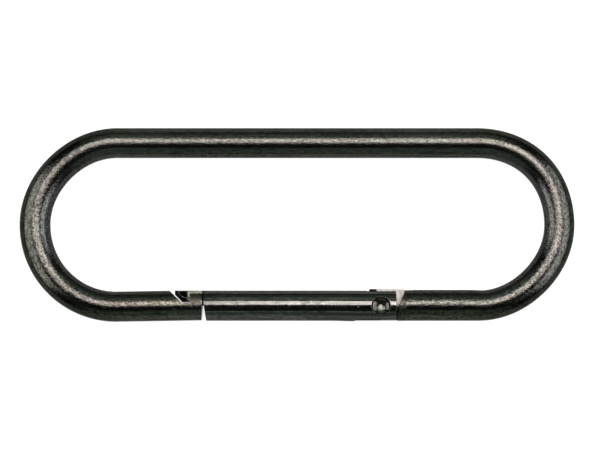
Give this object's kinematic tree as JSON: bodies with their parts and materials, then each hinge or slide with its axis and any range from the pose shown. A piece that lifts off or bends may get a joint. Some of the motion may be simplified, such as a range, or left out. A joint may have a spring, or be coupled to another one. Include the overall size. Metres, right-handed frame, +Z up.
{
  "type": "snap hook",
  "caption": "Long oval snap hook bent from round bar, closed by a straight sprung gate on a riveted hinge, with a T-shaped catch at the nose.",
  "frame": {"origin": "on the resting plane, under the middle of the link as it lies flat", "axes": "+X along the link from the catch towards the hinge, +Y across it from the gate towards the plain side, +Z up out of the plane of the link"},
  "size_m": [0.15, 0.0522, 0.008],
  "materials": {
    "link_body": "polished and blackened, bare metal on the milled faces",
    "gate": "polished and blackened",
    "hinge_rivet": "blackened, worn bright where it was peened",
    "closing_spring": "drawn spring wire",
    "spring_plunger": "turned bare steel"
  },
  "bodies": {
    "link": {"link_body": "link_body"},
    "gate": {"gate": "gate", "hinge_rivet": "hinge_rivet", "closing_spring": "closing_spring"},
    "plunger": {"spring_plunger": "spring_plunger"}
  },
  "joints": [
    {"name": "gate_hinge", "type": "hinge", "parent": "link", "child": "gate", "pos_m": [0.0227, -0.02184, 0.004], "axis": [0, 0, -1], "range_deg": [0, 32], "stiffness_Nm_per_rad": 0.27, "springref_deg": -31.51},
    {"name": "plunger_slide", "type": "slide", "parent": "gate", "child": "plunger", "axis": [-1, 0, 0], "range_m": [0, 0.0015], "deforming": ["closing_spring"]}
  ],
  "couplings": [
    {"joint": "plunger_slide", "follows": "gate_hinge", "m_per_rad": 0.00245}
  ]
}
